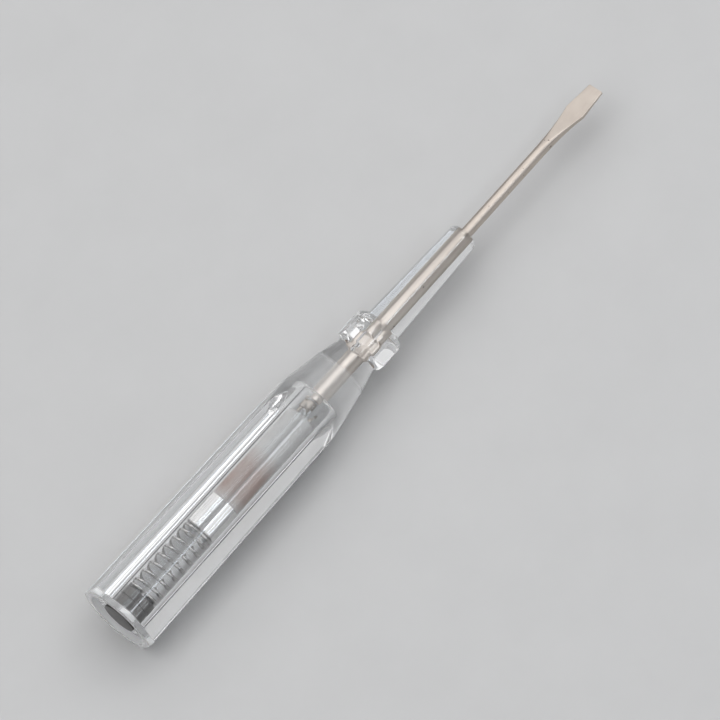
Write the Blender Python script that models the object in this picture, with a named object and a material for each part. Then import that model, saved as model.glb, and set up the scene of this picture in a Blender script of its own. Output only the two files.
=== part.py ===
"""Mains voltage tester: a small screwdriver whose clear handle holds a spring, a resistor and a neon lamp.

The tool lies along X with its blade towards +X, on one flat of its hexagonal handle. Lengths are in
metres. Places along the tool are measured from the rear rim of the handle.
"""
import math

import bmesh
import bpy
from mathutils import Vector

# Whole tool
LENGTH = 0.1400
CLEARANCE = 0.0003
CUTTER_OVERRUN = 0.0010
MERGE_DISTANCE = 0.0000001
ROUND_SIDES = 48
SMALL_ROUND_SIDES = 24
WIRE_SIDES = 12
SMOOTH_ANGLE = math.radians(32)

# Handle barrel: a drafted hexagon whose corners are turned off at both ends, as a pencil's are
HEXAGON_SIDES = 6
HEXAGON_CORNER_STEPS = 4
BARREL_REAR_RADIUS = 0.00887
BARREL_FRONT_RADIUS = 0.00827
BARREL_CORNER_ROUNDING = 0.0010
REAR_ROUNDING = 0.0012
CONE_START = 0.0505
CONE_END = 0.0649
CONE_END_RADIUS = 0.00563
CONE_START_BLEND = 0.0010
NECK_END_RADIUS = 0.00430

# Finger guard and nose of the handle
GUARD_START = 0.0700
GUARD_LENGTH = 0.0072
GUARD_RADIUS = 0.00595
GUARD_CORNER_ROUNDING = 0.0008
GUARD_REAR_CHAMFER = 0.0013
GUARD_FRONT_ROUNDING = 0.0026
HANDLE_LENGTH = 0.1016
NOSE_REAR_RADIUS = 0.00382
NOSE_FRONT_RADIUS = 0.00300
NOSE_END_ROUNDING = 0.0011

# Openings in the handle
RECESS_RADIUS = 0.00640
RECESS_DEPTH = 0.0014
BORE_RADIUS = 0.00325
BORE_END = 0.0580
BORE_END_ROUNDING = 0.0008

# Blade shaft, forged from round wire
SHAFT_RADIUS = 0.001165
SHAFT_START = 0.0566
SHAFT_END_CHAMFER = 0.0002
WING_START = 0.0687
WING_LENGTH = 0.0055
WING_WIDTH = 0.0038
WING_THICKNESS = 0.0011
WING_RUN_OUT = 0.0008
BLADE_ROLL = math.radians(-11)
SECTION_CORNER_STEPS = 5
FLATTENING_LENGTH = 0.0110
FLARE_LENGTH = 0.0083
SHOULDER_TO_TIP = 0.0062
SHOULDER_WIDTH = 0.0045
SHOULDER_THICKNESS = 0.00075
TIP_WIDTH = 0.0035
TIP_THICKNESS = 0.00045
TIP_CORNER_ROUNDING = 0.0002
BLADE_EDGE_ROUNDING = 0.00010
FLARE_STATIONS = 12
TAPER_STATIONS = 3

# Contact plug in the rear end
PLUG_RECESS = 0.0005
PLUG_FLANGE_RADIUS = 0.00355
PLUG_FLANGE_EDGE = 0.00015
PLUG_BODY_END = 0.0061
PLUG_GROOVE_DEPTH = 0.00025
PLUG_GROOVE_WIDTH = 0.0006
PLUG_GROOVE_START = 0.0034
PLUG_SPIGOT_RADIUS = 0.00180
PLUG_SPIGOT_LENGTH = 0.0011
PLUG_CHAMFER = 0.0003

# Contact spring
SPRING_WIRE = 0.0006
SPRING_MEAN_RADIUS = 0.00260
SPRING_ACTIVE_TURNS = 6.5
SPRING_END_TURNS = 1
SPRING_END_PITCH = 0.00115
SPRING_POINTS_PER_TURN = 9

# Lamp unit: ferrule and sleeve
FERRULE_START = 0.02305
FERRULE_LENGTH = 0.00735
FERRULE_RADIUS = 0.00295
FERRULE_WALL = 0.00035
FERRULE_FLOOR = 0.0006
FERRULE_EDGE = 0.00035
SOLDER_RADIUS = 0.0010
SOLDER_HEIGHT = 0.0006
SLEEVE_END = 0.0531
SLEEVE_RADIUS = 0.00275
SLEEVE_WALL = 0.00030
SLEEVE_SPIGOT_LENGTH = 0.0055
SLEEVE_END_WALL = 0.0005
SLEEVE_DOME = 0.0011

# Resistor
RESISTOR_START = 0.0312
RESISTOR_LENGTH = 0.0103
RESISTOR_RADIUS = 0.00190
RESISTOR_EDGE = 0.0004
RESISTOR_CAP_RADIUS = 0.00165
RESISTOR_CAP_WALL = 0.00030
RESISTOR_CAP_DEPTH = 0.0009
RESISTOR_LEAD_RADIUS = 0.00025
RESISTOR_FRONT_LEAD = 0.0006

# Neon bulb and its two electrodes
BULB_START = 0.0436
BULB_LENGTH = 0.0076
BULB_RADIUS = 0.00160
BULB_WALL = 0.00025
BULB_SEAL_LENGTH = 0.0010
BULB_SEAL_RADIUS = 0.00120
BULB_TIP_RADIUS = 0.00030
BULB_TIP_LENGTH = 0.0003
ELECTRODE_OFFSET = 0.00060
ELECTRODE_RADIUS = 0.00032
ELECTRODE_LENGTH = 0.0052
ELECTRODE_LEAD_RADIUS = 0.00015
LEFT_LEAD_REACH = 0.0018
RIGHT_LEAD_REACH = 0.0003
CRIMP_LENGTH = 0.0008
CRIMP_WALL = 0.00020
RETURN_LEAD_BEND = 0.0004
RETURN_LEAD_ARC_STEPS = 5
RETURN_LEAD_POINT_SPACING = 0.0008

# Front contact of the lamp unit
CONTACT_DISC_RADIUS = 0.00215
CONTACT_DISC_THICKNESS = 0.0004
CONTACT_STEM_RADIUS = 0.00050
CONTACT_HEAD_RADIUS = 0.00095
CONTACT_HEAD_LENGTH = 0.0017
CONTACT_HEAD_ROUNDING = 0.0004

# Shares of a size that an outline follows
GUARD_REAR_RADIUS_SHARE = 0.74
DOME_STEPS = 5
ROUNDING_STEPS = 6
SOLDER_STEPS = 4

AXIS_HEIGHT = BARREL_REAR_RADIUS * math.cos(math.pi / HEXAGON_SIDES)
DRAFT = (BARREL_REAR_RADIUS - BARREL_FRONT_RADIUS) / CONE_START


def clear_scene():
    for item in list(bpy.data.objects):
        bpy.data.objects.remove(item, do_unlink=True)


def make_material(name, colour, roughness, metallic=0.0, transmission=0.0):
    material = bpy.data.materials.new(name)
    material.use_nodes = True
    shader = material.node_tree.nodes["Principled BSDF"]
    shader.inputs["Base Color"].default_value = (*colour, 1.0)
    shader.inputs["Roughness"].default_value = roughness
    shader.inputs["Metallic"].default_value = metallic
    shader.inputs["Transmission Weight"].default_value = transmission
    return material


def arc(centre_x, centre_r, size_x, size_r, start, end, steps):
    """Points of a quarter ellipse or other arc in the plane of a turned outline."""
    points = []
    for i in range(steps + 1):
        angle = math.radians(start + (end - start) * i / steps)
        points.append((centre_x + size_x * math.cos(angle), centre_r + size_r * math.sin(angle)))
    return points


def rounded_hexagon(radius, rounding):
    """A hexagon with corners at both sides, so that it lies on a flat."""
    half_side = math.pi / HEXAGON_SIDES
    reach = radius - rounding / math.cos(half_side)
    points = []
    for corner in range(HEXAGON_SIDES):
        middle = 2 * corner * half_side
        for i in range(HEXAGON_CORNER_STEPS + 1):
            angle = middle - half_side + 2 * half_side * i / HEXAGON_CORNER_STEPS
            y = reach * math.cos(middle) + rounding * math.cos(angle)
            z = reach * math.sin(middle) + rounding * math.sin(angle)
            points.append((y, z))
    return points


def rounded_rectangle(width, thickness, rounding, roll=0.0):
    """A rectangle across the tool; it is a circle when its rounding is half of both sizes."""
    points = []
    for quarter, (side, top) in enumerate(((1, 1), (-1, 1), (-1, -1), (1, -1))):
        centre_y = side * (width / 2 - rounding)
        centre_z = top * (thickness / 2 - rounding)
        for i in range(SECTION_CORNER_STEPS + 1):
            angle = math.pi / 2 * (quarter + i / SECTION_CORNER_STEPS)
            y = centre_y + rounding * math.cos(angle)
            z = centre_z + rounding * math.sin(angle)
            points.append((
                y * math.cos(roll) - z * math.sin(roll),
                y * math.sin(roll) + z * math.cos(roll),
            ))
    return points


def add_object(name, mesh, material):
    item = bpy.data.objects.new(name, mesh)
    bpy.context.scene.collection.objects.link(item)
    mesh.materials.clear()
    mesh.materials.append(material)
    return item


def finish_mesh(name, shape, material):
    bmesh.ops.remove_doubles(shape, verts=shape.verts, dist=MERGE_DISTANCE)
    bmesh.ops.recalc_face_normals(shape, faces=shape.faces)
    mesh = bpy.data.meshes.new(name)
    shape.to_mesh(mesh)
    shape.free()
    mesh.shade_smooth()
    mesh.set_sharp_from_angle(angle=SMOOTH_ANGLE)
    return add_object(name, mesh, material)


def turned(name, outline, material, sides=ROUND_SIDES):
    """Spins an outline of (x, radius) about the tool's axis. It is a ring where no point is on the axis."""
    shape = bmesh.new()
    vertices = [shape.verts.new((x, radius, 0)) for x, radius in outline]
    edges = [shape.edges.new(pair) for pair in zip(vertices, vertices[1:])]
    if all(radius > 0 for _, radius in outline):
        edges.append(shape.edges.new((vertices[-1], vertices[0])))
    bmesh.ops.spin(
        shape, geom=vertices + edges, cent=(0, 0, 0), axis=(1, 0, 0),
        angle=2 * math.pi, steps=sides, use_merge=True,
    )
    return finish_mesh(name, shape, material)


def lofted(name, stations, material):
    """Skins a row of cross-sections (x, points) and closes its two ends."""
    shape = bmesh.new()
    rings = [[shape.verts.new((x, y, z)) for y, z in points] for x, points in stations]
    for near, far in zip(rings, rings[1:]):
        count = len(near)
        for i in range(count):
            after = (i + 1) % count
            shape.faces.new((near[i], near[after], far[after], far[i]))
    shape.faces.new(rings[0])
    shape.faces.new(rings[-1])
    return finish_mesh(name, shape, material)


def combine(target, tool, operation):
    """Applies a Boolean with the tool, which is then removed."""
    modifier = target.modifiers.new(operation.lower(), "BOOLEAN")
    modifier.operation = operation
    modifier.solver = "EXACT"
    modifier.object = tool
    bpy.context.view_layer.update()
    evaluated = target.evaluated_get(bpy.context.evaluated_depsgraph_get())
    mesh = bpy.data.meshes.new_from_object(evaluated)
    target.modifiers.remove(modifier)
    target.data = mesh
    mesh.shade_smooth()
    mesh.set_sharp_from_angle(angle=SMOOTH_ANGLE)
    bpy.data.objects.remove(tool, do_unlink=True)


def wire(name, points, radius, material, resolution):
    """A round wire along points, with closed ends."""
    curve = bpy.data.curves.new(name, "CURVE")
    curve.dimensions = "3D"
    curve.bevel_depth = radius
    curve.bevel_resolution = resolution
    curve.use_fill_caps = True
    spline = curve.splines.new("POLY")
    spline.points.add(len(points) - 1)
    for knot, place in zip(spline.points, points):
        knot.co = (*place, 1.0)
    return add_object(name, curve, material)


def barrel_radius(x):
    """Distance from the axis to a corner of the drafted hexagon."""
    return BARREL_REAR_RADIUS - DRAFT * x


def handle_outline():
    """The outline that the handle would be turned to, from its rear face to its nose."""
    cone_slope = (BARREL_FRONT_RADIUS - CONE_END_RADIUS) / (CONE_END - CONE_START)
    blend_start = CONE_START - CONE_START_BLEND
    blend_end = CONE_START + CONE_START_BLEND
    nose_face = HANDLE_LENGTH - NOSE_END_ROUNDING
    outline = [(0, 0)]
    outline += arc(
        REAR_ROUNDING, BARREL_REAR_RADIUS - REAR_ROUNDING,
        REAR_ROUNDING, REAR_ROUNDING, 180, 90, ROUNDING_STEPS,
    )
    outline += [
        (blend_start, barrel_radius(blend_start)),
        (blend_end, BARREL_FRONT_RADIUS - cone_slope * CONE_START_BLEND),
        (CONE_END, CONE_END_RADIUS),
        (GUARD_START, NECK_END_RADIUS),
        (GUARD_START + GUARD_LENGTH, NOSE_REAR_RADIUS),
    ]
    outline += arc(
        nose_face, NOSE_FRONT_RADIUS - NOSE_END_ROUNDING,
        NOSE_END_ROUNDING, NOSE_END_ROUNDING, 90, 0, ROUNDING_STEPS,
    )
    return outline + [(HANDLE_LENGTH, 0)]


def guard_outline():
    """The outline that the guard's corners are turned to: a chamfer behind and a round shoulder ahead."""
    rear_radius = GUARD_REAR_RADIUS_SHARE * GUARD_RADIUS
    end = GUARD_START + GUARD_LENGTH
    outline = [(GUARD_START, 0), (GUARD_START, rear_radius)]
    outline.append((GUARD_START + GUARD_REAR_CHAMFER, GUARD_RADIUS))
    outline += arc(
        end - GUARD_FRONT_ROUNDING, NOSE_REAR_RADIUS,
        GUARD_FRONT_ROUNDING, GUARD_RADIUS - NOSE_REAR_RADIUS, 90, 0, ROUNDING_STEPS,
    )
    return outline + [(end, 0)]


def bore_outline():
    """Recess, main bore and the channel of the shaft, as one cutter."""
    channel = SHAFT_RADIUS + CLEARANCE
    outline = [
        (-CUTTER_OVERRUN, 0),
        (-CUTTER_OVERRUN, RECESS_RADIUS),
        (RECESS_DEPTH, RECESS_RADIUS),
        (RECESS_DEPTH, BORE_RADIUS),
    ]
    outline += arc(
        BORE_END - BORE_END_ROUNDING, BORE_RADIUS - BORE_END_ROUNDING,
        BORE_END_ROUNDING, BORE_END_ROUNDING, 90, 0, ROUNDING_STEPS,
    )
    outline += [(BORE_END, channel), (HANDLE_LENGTH + CUTTER_OVERRUN, channel)]
    return outline + [(HANDLE_LENGTH + CUTTER_OVERRUN, 0)]


def wing_pocket_stations():
    """Cross-sections of the pocket round the shaft's swaged wings."""
    width = WING_WIDTH + 2 * CLEARANCE
    thickness = WING_THICKNESS + 2 * CLEARANCE
    section = rounded_rectangle(width, thickness, thickness / 2, BLADE_ROLL)
    wing_end = WING_START + WING_LENGTH
    return [(WING_START - CLEARANCE, section), (wing_end + CLEARANCE, section)]


def hexagonal_bar(name, start, end, radius_at, rounding, material):
    stations = []
    for x in (start, end):
        stations.append((x, rounded_hexagon(radius_at(x), rounding)))
    return lofted(name, stations, material)


def make_handle(materials):
    clear = materials["clear_plastic"]
    handle = turned("handle", handle_outline(), clear)
    hexagon = hexagonal_bar(
        "barrel_hexagon", -CUTTER_OVERRUN, HANDLE_LENGTH + CUTTER_OVERRUN,
        barrel_radius, BARREL_CORNER_ROUNDING, clear,
    )
    combine(handle, hexagon, "INTERSECT")
    guard = turned("guard", guard_outline(), clear)
    guard_hexagon = hexagonal_bar(
        "guard_hexagon", GUARD_START - CUTTER_OVERRUN, GUARD_START + GUARD_LENGTH + CUTTER_OVERRUN,
        lambda x: GUARD_RADIUS, GUARD_CORNER_ROUNDING, clear,
    )
    combine(guard, guard_hexagon, "INTERSECT")
    combine(handle, guard, "UNION")
    opening = turned("bore", bore_outline(), clear)
    combine(opening, lofted("wing_pocket", wing_pocket_stations(), clear), "UNION")
    combine(handle, opening, "DIFFERENCE")
    return handle


def shaft_section(width, thickness, rounding):
    return rounded_rectangle(width, thickness, rounding, BLADE_ROLL)


def flare_width(x, flare_start):
    """The blade widens as the square of the way from the shaft to its shoulder."""
    way = min(max((x - flare_start) / FLARE_LENGTH, 0.0), 1.0)
    return 2 * SHAFT_RADIUS + (SHOULDER_WIDTH - 2 * SHAFT_RADIUS) * way ** 2


def flare_thickness(x, flattening_start):
    """The shaft is hammered flat along a soft S from round to the shoulder's thickness."""
    way = min(max((x - flattening_start) / FLATTENING_LENGTH, 0.0), 1.0)
    soft = way * way * (3 - 2 * way)
    return 2 * SHAFT_RADIUS + (SHOULDER_THICKNESS - 2 * SHAFT_RADIUS) * soft


def blade_stations():
    """Cross-sections from the end of the round shaft to the blade's tip."""
    shoulder = LENGTH - SHOULDER_TO_TIP
    flattening_start = shoulder - FLATTENING_LENGTH
    stations = []
    for i in range(FLARE_STATIONS + 1):
        x = flattening_start + FLATTENING_LENGTH * i / FLARE_STATIONS
        thickness = flare_thickness(x, flattening_start)
        share_flat = (2 * SHAFT_RADIUS - thickness) / (2 * SHAFT_RADIUS - SHOULDER_THICKNESS)
        rounding = thickness / 2 * (1 - share_flat) + BLADE_EDGE_ROUNDING * share_flat
        section = shaft_section(flare_width(x, shoulder - FLARE_LENGTH), thickness, rounding)
        stations.append((x, section))
    run = SHOULDER_TO_TIP - TIP_CORNER_ROUNDING
    for i in range(1, TAPER_STATIONS + 1):
        way = i / TAPER_STATIONS
        width = SHOULDER_WIDTH + (TIP_WIDTH - SHOULDER_WIDTH) * way
        thickness = SHOULDER_THICKNESS + (TIP_THICKNESS - SHOULDER_THICKNESS) * way
        stations.append((shoulder + run * way, shaft_section(width, thickness, BLADE_EDGE_ROUNDING)))
    end_width = TIP_WIDTH - 2 * TIP_CORNER_ROUNDING
    stations.append((LENGTH, shaft_section(end_width, TIP_THICKNESS, BLADE_EDGE_ROUNDING)))
    return stations


def make_blade_shaft(materials):
    diameter = 2 * SHAFT_RADIUS
    round_section = shaft_section(diameter, diameter, SHAFT_RADIUS)
    end_radius = SHAFT_RADIUS - SHAFT_END_CHAMFER
    end_section = shaft_section(2 * end_radius, 2 * end_radius, end_radius)
    wing_section = shaft_section(WING_WIDTH, WING_THICKNESS, WING_THICKNESS / 2)
    wing_end = WING_START + WING_LENGTH
    stations = [
        (SHAFT_START, end_section),
        (SHAFT_START + SHAFT_END_CHAMFER, round_section),
        (WING_START, round_section),
        (WING_START + WING_RUN_OUT, wing_section),
        (wing_end - WING_RUN_OUT, wing_section),
        (wing_end, round_section),
    ]
    return lofted("blade_shaft", stations + blade_stations(), materials["nickel_steel"])


def make_contact_plug(materials):
    """The touch contact: a flanged plug that closes the bore, with a spigot that centres the spring."""
    seat = RECESS_DEPTH - CLEARANCE
    body = BORE_RADIUS - CLEARANCE
    groove_end = PLUG_GROOVE_START + PLUG_GROOVE_WIDTH
    spigot_end = PLUG_BODY_END + PLUG_SPIGOT_LENGTH
    outline = [
        (PLUG_RECESS, 0),
        (PLUG_RECESS, PLUG_FLANGE_RADIUS - PLUG_FLANGE_EDGE),
        (PLUG_RECESS + PLUG_FLANGE_EDGE, PLUG_FLANGE_RADIUS),
        (seat, PLUG_FLANGE_RADIUS),
        (seat, body),
        (PLUG_GROOVE_START, body),
        (PLUG_GROOVE_START, body - PLUG_GROOVE_DEPTH),
        (groove_end, body - PLUG_GROOVE_DEPTH),
        (groove_end, body),
        (PLUG_BODY_END - PLUG_CHAMFER, body),
        (PLUG_BODY_END, body - PLUG_CHAMFER),
        (PLUG_BODY_END, PLUG_SPIGOT_RADIUS),
        (spigot_end - PLUG_CHAMFER, PLUG_SPIGOT_RADIUS),
        (spigot_end, PLUG_SPIGOT_RADIUS - PLUG_CHAMFER),
        (spigot_end, 0),
    ]
    return turned("contact_plug", outline, materials["plug_metal"])


def spring_place(along, turns):
    angle = 2 * math.pi * turns
    return Vector((along, SPRING_MEAN_RADIUS * math.cos(angle), SPRING_MEAN_RADIUS * math.sin(angle)))


def spring_points():
    """Centre line of the wound wire: a close turn at each end and open turns between them."""
    start = PLUG_BODY_END + CLEARANCE + SPRING_WIRE / 2
    end = FERRULE_START - CLEARANCE - SPRING_WIRE / 2
    close_length = SPRING_END_TURNS * SPRING_END_PITCH
    open_pitch = (end - start - 2 * close_length) / SPRING_ACTIVE_TURNS
    turns = SPRING_ACTIVE_TURNS + 2 * SPRING_END_TURNS
    count = round(turns * SPRING_POINTS_PER_TURN)
    points = []
    for i in range(count + 1):
        turn = turns * i / count
        open_turns = min(max(turn - SPRING_END_TURNS, 0), SPRING_ACTIVE_TURNS)
        close_turns = turn - open_turns
        points.append(spring_place(start + close_turns * SPRING_END_PITCH + open_turns * open_pitch, turn))
    across = (0, 1, 1)
    first = (points[0] - points[1]) * Vector(across)
    last = (points[-1] - points[-2]) * Vector(across)
    points.insert(0, points[0] + SPRING_WIRE * first.normalized())
    points.append(points[-1] + SPRING_WIRE * last.normalized())
    return points


def least_gap(points, diameter):
    """Smallest distance between two stretches of the wound wire that don't follow on each other."""
    apart = SPRING_POINTS_PER_TURN // 2
    nearest = min(
        (a - b).length
        for i, a in enumerate(points)
        for b in points[i + apart:]
    )
    return nearest - diameter


def make_contact_spring(materials):
    points = spring_points()
    print(f"contact_spring least gap to itself: {least_gap(points, SPRING_WIRE):.6f} m")
    return wire("contact_spring", points, SPRING_WIRE / 2, materials["spring_steel"], 1)


def make_lamp_ferrule(materials):
    """A drawn metal cup over the rear end of the lamp unit, with a hole for the soldered lead."""
    end = FERRULE_START + FERRULE_LENGTH
    inner = FERRULE_RADIUS - FERRULE_WALL
    hole = RESISTOR_LEAD_RADIUS + CLEARANCE
    outline = [(FERRULE_START, hole)]
    outline += arc(
        FERRULE_START + FERRULE_EDGE, FERRULE_RADIUS - FERRULE_EDGE,
        FERRULE_EDGE, FERRULE_EDGE, 180, 90, ROUNDING_STEPS,
    )
    outline += [
        (end, FERRULE_RADIUS),
        (end, inner),
        (FERRULE_START + FERRULE_FLOOR, inner),
        (FERRULE_START + FERRULE_FLOOR, hole),
    ]
    return turned("lamp_ferrule", outline, materials["bright_tin"])


def make_ferrule_solder(materials):
    """The dome of solder that ties the resistor's lead to the ferrule."""
    base = FERRULE_START - CLEARANCE
    outline = arc(base, 0, SOLDER_HEIGHT, SOLDER_RADIUS, 180, 90, SOLDER_STEPS)
    return turned("ferrule_solder", outline + [(base, 0)], materials["solder"], SMALL_ROUND_SIDES)


def make_lamp_sleeve(materials):
    """The frosted tube that holds resistor and bulb, with a spigot in the ferrule and a domed front."""
    step = FERRULE_START + FERRULE_LENGTH + CLEARANCE
    start = step - SLEEVE_SPIGOT_LENGTH
    spigot = FERRULE_RADIUS - FERRULE_WALL - CLEARANCE
    spigot_inner = spigot - SLEEVE_WALL
    inner = SLEEVE_RADIUS - SLEEVE_WALL
    hole = CONTACT_STEM_RADIUS + CLEARANCE
    inner_end = SLEEVE_END - SLEEVE_END_WALL
    inner_dome = SLEEVE_DOME - SLEEVE_WALL
    outline = [(start, spigot_inner), (start, spigot), (step, spigot), (step, SLEEVE_RADIUS)]
    outline += arc(
        SLEEVE_END - SLEEVE_DOME, SLEEVE_RADIUS - SLEEVE_DOME,
        SLEEVE_DOME, SLEEVE_DOME, 90, 0, DOME_STEPS,
    )
    outline += [(SLEEVE_END, hole), (inner_end, hole), (inner_end, inner - inner_dome / 2)]
    outline += [
        (inner_end - inner_dome / 2, inner),
        (step + SLEEVE_WALL, inner),
        (step + SLEEVE_WALL, spigot_inner),
    ]
    return turned("lamp_sleeve", outline, materials["frosted_glass"])


def make_resistor_body(materials):
    """A coated rod with a narrower end in each of its two pressed caps."""
    end = RESISTOR_START + RESISTOR_LENGTH
    tail = RESISTOR_CAP_WALL + CLEARANCE
    shoulder = RESISTOR_CAP_WALL + RESISTOR_CAP_DEPTH + 2 * CLEARANCE
    neck = RESISTOR_CAP_RADIUS - RESISTOR_CAP_WALL - CLEARANCE
    edge = RESISTOR_RADIUS - RESISTOR_EDGE
    half = [(tail, 0), (tail, neck), (shoulder, neck), (shoulder, edge)]
    half.append((shoulder + RESISTOR_EDGE, RESISTOR_RADIUS))
    outline = [(RESISTOR_START + x, radius) for x, radius in half]
    outline += [(end - x, radius) for x, radius in reversed(half)]
    return turned("resistor_body", outline, materials["resistor_coat"], SMALL_ROUND_SIDES)


def make_resistor_cap(name, base, direction, materials):
    """A pressed cup whose floor is at base and whose rim looks along direction."""
    inner = RESISTOR_CAP_RADIUS - RESISTOR_CAP_WALL
    depth = RESISTOR_CAP_WALL + RESISTOR_CAP_DEPTH + CLEARANCE
    cup = [
        (0, 0),
        (0, RESISTOR_CAP_RADIUS),
        (depth, RESISTOR_CAP_RADIUS),
        (depth, inner),
        (RESISTOR_CAP_WALL, inner),
        (RESISTOR_CAP_WALL, 0),
    ]
    outline = [(base + direction * x, radius) for x, radius in cup]
    return turned(name, outline, materials["bright_tin"], SMALL_ROUND_SIDES)


def make_rod(name, start, end, radius, material, side=0.0):
    """A straight round wire along the tool, set off sideways from the axis."""
    rod = turned(name, [(start, 0), (start, radius), (end, radius), (end, 0)], material, WIRE_SIDES)
    rod.location.y = side
    return rod


def make_resistor(materials):
    end = RESISTOR_START + RESISTOR_LENGTH
    tin = materials["bright_tin"]
    return [
        make_resistor_body(materials),
        make_resistor_cap("resistor_cap_rear", RESISTOR_START, 1, materials),
        make_resistor_cap("resistor_cap_front", end, -1, materials),
        make_rod(
            "resistor_lead_rear", FERRULE_START, RESISTOR_START - CLEARANCE,
            RESISTOR_LEAD_RADIUS, tin,
        ),
        make_rod(
            "resistor_lead_front", end + CLEARANCE, end + CLEARANCE + RESISTOR_FRONT_LEAD,
            RESISTOR_LEAD_RADIUS, tin,
        ),
    ]


def make_lead_crimp(materials):
    """A short tube pinched round the resistor's front lead and the left electrode's lead."""
    near = RESISTOR_LEAD_RADIUS
    far = ELECTRODE_OFFSET + ELECTRODE_LEAD_RADIUS
    inner = (near + far) / 2 + CLEARANCE
    outer = inner + CRIMP_WALL
    start = RESISTOR_START + RESISTOR_LENGTH + 2 * CLEARANCE
    end = start + CRIMP_LENGTH
    outline = [(start, inner), (start, outer), (end, outer), (end, inner)]
    crimp = turned("lead_crimp", outline, materials["bright_tin"], SMALL_ROUND_SIDES)
    crimp.location.y = (near - far) / 2
    return crimp


def make_neon_bulb(materials):
    """A blown glass bulb with a solid seal behind, a nipped tip ahead and two wire holes."""
    glass = materials["bulb_glass"]
    end = BULB_START + BULB_LENGTH
    seal_end = BULB_START + BULB_SEAL_LENGTH
    dome_centre = end - BULB_TIP_LENGTH - BULB_RADIUS
    tip_angle = math.degrees(math.asin(BULB_TIP_RADIUS / BULB_RADIUS))
    outline = [(BULB_START, 0), (BULB_START, BULB_SEAL_RADIUS), (seal_end, BULB_RADIUS)]
    outline += arc(dome_centre, 0, BULB_RADIUS, BULB_RADIUS, 90, tip_angle, DOME_STEPS)
    outline += [(end, BULB_TIP_RADIUS), (end, 0)]
    bulb = turned("neon_bulb", outline, glass, SMALL_ROUND_SIDES)
    inner = BULB_RADIUS - BULB_WALL
    hollow = [(seal_end, 0), (seal_end, inner)]
    hollow += arc(dome_centre, 0, inner, inner, 90, 0, DOME_STEPS)
    combine(bulb, turned("bulb_hollow", hollow, glass, SMALL_ROUND_SIDES), "DIFFERENCE")
    for side in (-1, 1):
        hole = make_rod(
            "lead_hole", BULB_START - CUTTER_OVERRUN, seal_end + BULB_WALL,
            ELECTRODE_LEAD_RADIUS + CLEARANCE, glass, side * ELECTRODE_OFFSET,
        )
        combine(bulb, hole, "DIFFERENCE")
    return bulb


def make_electrodes(materials):
    """Two nickel rods side by side in the bulb, each welded to a wire that leaves through the seal."""
    rod_start = BULB_START + BULB_SEAL_LENGTH + CLEARANCE
    pieces = []
    for name, side, reach in (("left", -1, LEFT_LEAD_REACH), ("right", 1, RIGHT_LEAD_REACH)):
        offset = side * ELECTRODE_OFFSET
        pieces.append(make_rod(
            f"electrode_{name}", rod_start, rod_start + ELECTRODE_LENGTH,
            ELECTRODE_RADIUS, materials["electrode_nickel"], offset,
        ))
        pieces.append(make_rod(
            f"electrode_lead_{name}", BULB_START - reach, rod_start - CLEARANCE,
            ELECTRODE_LEAD_RADIUS, materials["lead_wire"], offset,
        ))
    return pieces


def return_lead_points():
    """The right lead turns outwards behind the bulb and runs forward beside it to the contact disc."""
    outer = BULB_RADIUS + CLEARANCE + ELECTRODE_LEAD_RADIUS
    inner = ELECTRODE_OFFSET
    turn_x = BULB_START - RIGHT_LEAD_REACH - CLEARANCE - ELECTRODE_LEAD_RADIUS
    disc = SLEEVE_END - SLEEVE_END_WALL - CLEARANCE - CONTACT_DISC_THICKNESS
    stop = disc - CLEARANCE
    points = [Vector((turn_x, inner, 0))]
    for i in range(RETURN_LEAD_ARC_STEPS + 1):
        angle = math.pi / 2 * i / RETURN_LEAD_ARC_STEPS
        x = turn_x + RETURN_LEAD_BEND * (1 - math.cos(angle))
        y = outer - RETURN_LEAD_BEND * (1 - math.sin(angle))
        points.append(Vector((x, y, 0)))
    run_start = points[-1].x
    steps = max(round((stop - run_start) / RETURN_LEAD_POINT_SPACING), 1)
    points += [Vector((run_start + (stop - run_start) * i / steps, outer, 0)) for i in range(1, steps + 1)]
    return points


def make_return_lead(materials):
    return wire("return_lead", return_lead_points(), ELECTRODE_LEAD_RADIUS, materials["lead_wire"], 2)


def make_front_contact(materials):
    """The lamp unit's front contact: a disc behind the sleeve's dome, a stem and a rounded head."""
    disc_end = SLEEVE_END - SLEEVE_END_WALL - CLEARANCE
    head_end = SHAFT_START - CLEARANCE
    head_start = head_end - CONTACT_HEAD_LENGTH
    outline = [
        (disc_end - CONTACT_DISC_THICKNESS, 0),
        (disc_end - CONTACT_DISC_THICKNESS, CONTACT_DISC_RADIUS),
        (disc_end, CONTACT_DISC_RADIUS),
        (disc_end, CONTACT_STEM_RADIUS),
        (head_start, CONTACT_STEM_RADIUS),
        (head_start, CONTACT_HEAD_RADIUS),
    ]
    outline += arc(
        head_end - CONTACT_HEAD_ROUNDING, CONTACT_HEAD_RADIUS - CONTACT_HEAD_ROUNDING,
        CONTACT_HEAD_ROUNDING, CONTACT_HEAD_ROUNDING, 90, 0, DOME_STEPS,
    )
    outline.append((head_end, 0))
    return turned("front_contact", outline, materials["bright_tin"], SMALL_ROUND_SIDES)


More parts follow.
